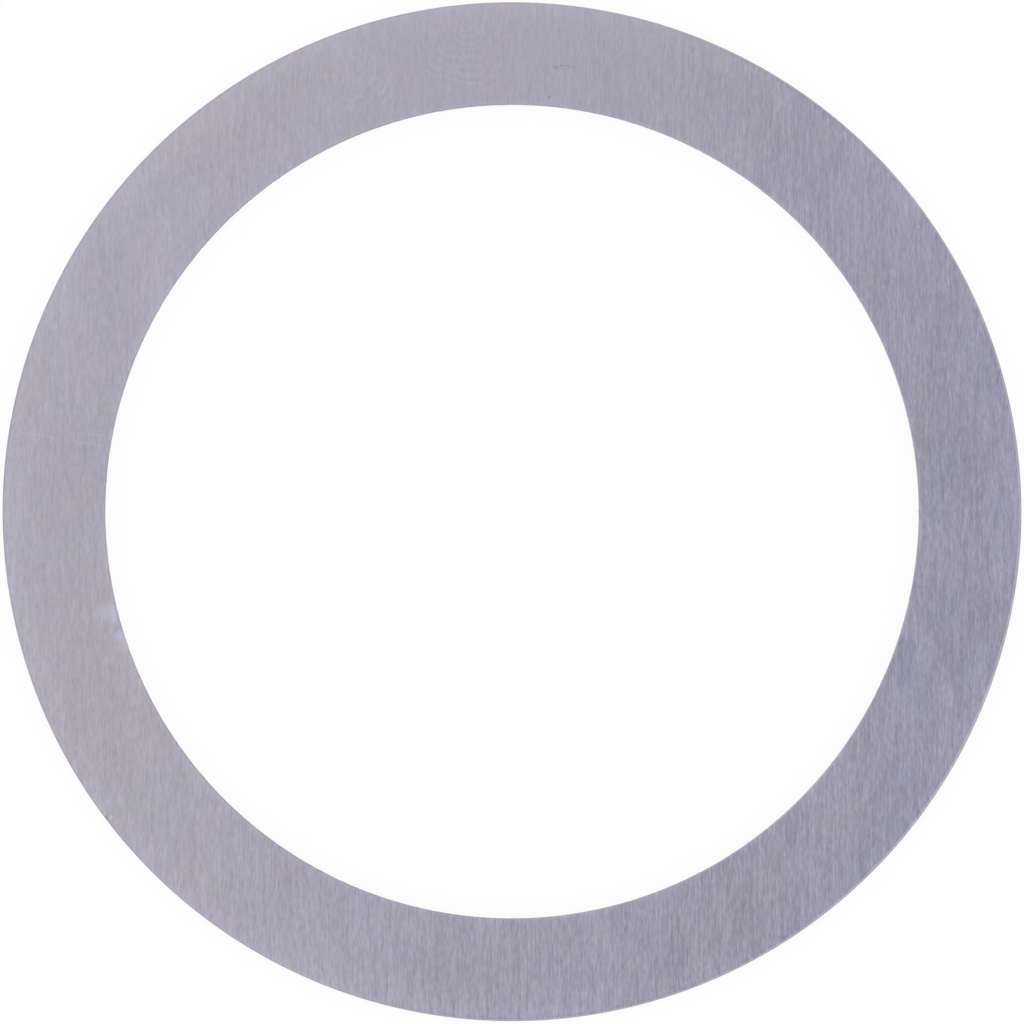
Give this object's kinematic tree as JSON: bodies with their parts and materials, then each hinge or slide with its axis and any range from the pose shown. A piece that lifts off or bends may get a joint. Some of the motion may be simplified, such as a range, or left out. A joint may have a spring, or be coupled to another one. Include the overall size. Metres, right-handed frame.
{
  "type": "shim ring",
  "caption": "Flat steel shim ring: a large round bore in a narrow, thin band, with punched edges rolled over on the upper side.",
  "frame": {"origin": "centre of the ring on its lower face, the one with the burr side of the punched edges", "axes": "+Z along the ring's axis, out of the face with the rolled-over edges; +Y along the rolling grain of the strip"},
  "size_m": [0.0628, 0.0628, 0.001],
  "materials": {
    "steel": "cold-rolled steel strip with a fine one-way rolling grain along Y, satin, with a cool grey tone, bright tumbled edges and a few handling marks"
  },
  "bodies": {
    "root": {"shim_ring": "steel"}
  },
  "joints": []
}
